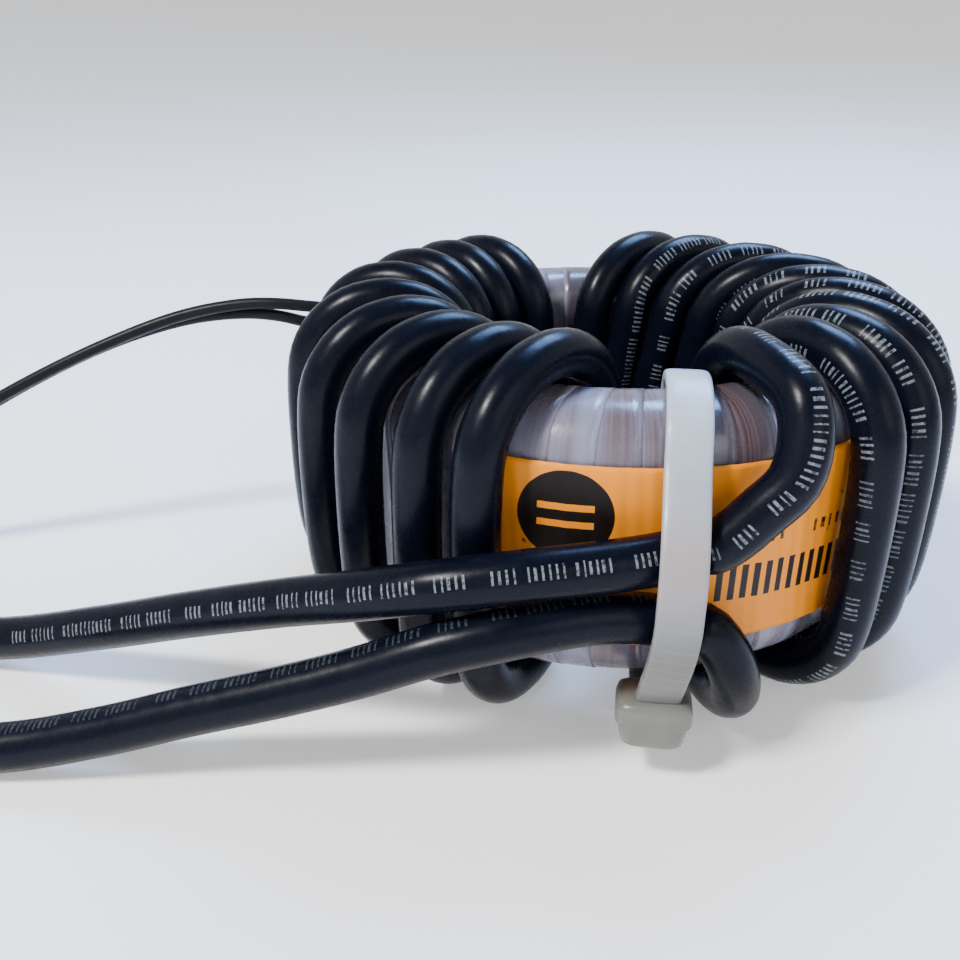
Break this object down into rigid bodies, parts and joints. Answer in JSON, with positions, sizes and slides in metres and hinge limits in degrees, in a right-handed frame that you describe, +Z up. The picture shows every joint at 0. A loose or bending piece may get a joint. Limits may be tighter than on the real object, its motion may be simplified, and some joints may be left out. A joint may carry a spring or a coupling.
{
  "type": "toroidal inductor",
  "caption": "Tape-wrapped ring core carrying a heavy insulated wire wound round it, a cable tie over the wire's two leads, and a pair of fine leads from an inner winding.",
  "frame": {"origin": "on the surface that the part stands on, under the middle of the wound ring and its tie", "axes": "+Z up along the ring's axis, -Y towards the tie and label, -X the way the leads run"},
  "size_m": [0.1563, 0.0777, 0.0348],
  "materials": {
    "heavy_insulation": "near-black glossy PVC with a bluish sheen",
    "fine_insulation": "near-black satin PVC",
    "tinned_copper": "dull solder-coated strands",
    "enamelled_copper": "varnished reddish-brown copper",
    "core_coating": "satin coating",
    "tape_film": "glossy lilac-grey polyester film",
    "label_film": "satin orange film",
    "nylon": "translucent off-white nylon",
    "crimp_sleeve": "plated crimp"
  },
  "bodies": {
    "root": {"core": "core_coating", "inner_winding": "enamelled_copper", "tape_wrap": "tape_film", "label": "label_film", "heavy_winding": "heavy_insulation", "lead_upper": "heavy_insulation", "lead_lower": "heavy_insulation", "lead_upper_tinned_end": "tinned_copper", "lead_lower_tinned_end": "tinned_copper", "fine_lead_a": "fine_insulation", "fine_lead_b": "fine_insulation", "fine_lead_a_tinned_end": "tinned_copper", "fine_lead_b_tinned_end": "tinned_copper", "splice_sleeve_a": "crimp_sleeve", "splice_sleeve_b": "crimp_sleeve", "cable_tie": "nylon"}
  },
  "joints": []
}
